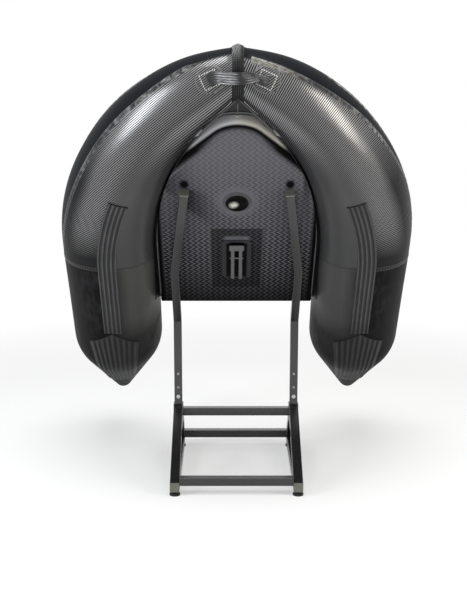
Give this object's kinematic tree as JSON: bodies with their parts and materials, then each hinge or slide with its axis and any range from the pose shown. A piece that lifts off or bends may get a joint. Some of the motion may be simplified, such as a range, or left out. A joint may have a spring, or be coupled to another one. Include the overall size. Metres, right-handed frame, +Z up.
{
  "type": "float tube",
  "caption": "Open-ended inflatable float tube with a pointed bow and ribbed keel strips, leaning bow up on a black steel floor stand.",
  "frame": {"origin": "middle of the whole part on the floor, under the centre of its bounding box", "axes": "+Z up, +X to the right across the boat, -Y the side that the boat leans towards and shows its underside"},
  "size_m": [1.1916, 1.129, 1.4661],
  "materials": {
    "cap_plastic": "dark grey plastic",
    "carbon_fabric": "satin coated fabric, fine carbon weave",
    "floor_fabric": "embossed herringbone foam",
    "moulded_plastic": "black moulded plastic",
    "pad_rubber": "black rubber",
    "plain_fabric": "matte black coated fabric",
    "ribbed_rubber": "satin ribbed rubber",
    "smooth_fabric": "smooth satin coated fabric",
    "stand_steel": "satin black powder coat",
    "webbing": "ribbed webbing",
    "zinc_steel": "zinc plated"
  },
  "bodies": {
    "root": {"arm_cap_left": "cap_plastic", "arm_cap_right": "cap_plastic", "arm_left": "stand_steel", "arm_right": "stand_steel", "bow_band": "smooth_fabric", "bow_gusset": "smooth_fabric", "collar_left": "stand_steel", "collar_right": "stand_steel", "fin_box": "moulded_plastic", "fin_patch": "smooth_fabric", "floor": "floor_fabric", "floor_valve": "moulded_plastic", "floor_welt_left": "smooth_fabric", "floor_welt_right": "smooth_fabric", "front_bar": "stand_steel", "front_leg_left": "stand_steel", "front_leg_right": "stand_steel", "front_pad_left": "pad_rubber", "front_pad_right": "pad_rubber", "front_plug_left": "cap_plastic", "front_plug_right": "cap_plastic", "ground_rail_left": "stand_steel", "ground_rail_right": "stand_steel", "handle_patch_left": "smooth_fabric", "handle_patch_right": "smooth_fabric", "handle_strap": "webbing", "keel_strip_left": "ribbed_rubber", "keel_strip_right": "ribbed_rubber", "post_bolt_left": "zinc_steel", "post_bolt_right": "zinc_steel", "post_left": "stand_steel", "post_right": "stand_steel", "rear_bar": "stand_steel", "rear_leg_left": "stand_steel", "rear_leg_right": "stand_steel", "rear_pad_left": "pad_rubber", "rear_pad_right": "pad_rubber", "rear_plug_left": "cap_plastic", "rear_plug_right": "cap_plastic", "tail_guard_left": "ribbed_rubber", "tail_guard_right": "ribbed_rubber", "tail_left": "plain_fabric", "tail_right": "plain_fabric", "tube_left": "carbon_fabric", "tube_right": "carbon_fabric", "tube_valve_left": "moulded_plastic", "tube_valve_right": "moulded_plastic", "upper_bar": "stand_steel"}
  },
  "joints": []
}
